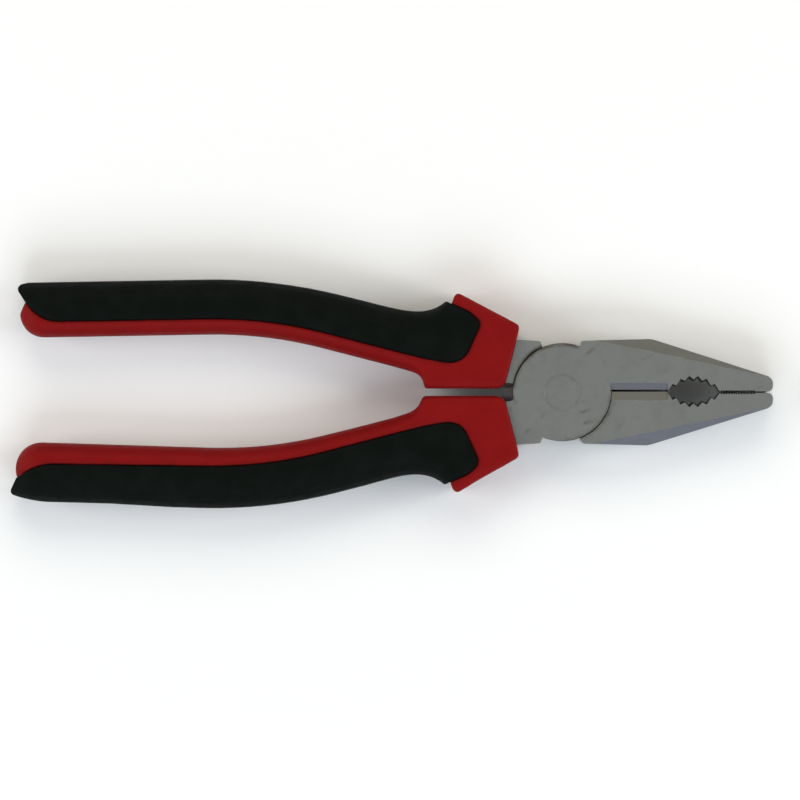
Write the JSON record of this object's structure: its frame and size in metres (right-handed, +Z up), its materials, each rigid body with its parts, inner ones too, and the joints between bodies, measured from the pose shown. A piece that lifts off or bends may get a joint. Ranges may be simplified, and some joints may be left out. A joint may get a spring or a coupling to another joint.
{
  "type": "combination pliers",
  "caption": "Combination pliers with forged steel jaws, side cutters, a toothed pipe grip and two-colour moulded grips on a riveted lap joint.",
  "frame": {"origin": "middle of the closed pliers' footprint, on the surface that they lie on", "axes": "+X towards the jaw tips, +Y towards the upper handle, +Z up through the thickness, along the pivot"},
  "size_m": [0.2003, 0.0602, 0.016],
  "materials": {
    "forged_steel": "satin plated",
    "rivet_steel": "satin plated",
    "red_sleeve": "satin moulded",
    "black_pad": "matte moulded"
  },
  "bodies": {
    "back_lever": {"back_half": "forged_steel", "pivot_rivet": "rivet_steel", "upper_sleeve": "red_sleeve", "upper_pad": "black_pad"},
    "front_lever": {"front_half": "forged_steel", "lower_sleeve": "red_sleeve", "lower_pad": "black_pad"}
  },
  "joints": [
    {"name": "jaw_pivot", "type": "hinge", "parent": "back_lever", "child": "front_lever", "pos_m": [0.0447, 0, 0.008], "axis": [0, 0, 1], "range_deg": [0, 42]}
  ]
}
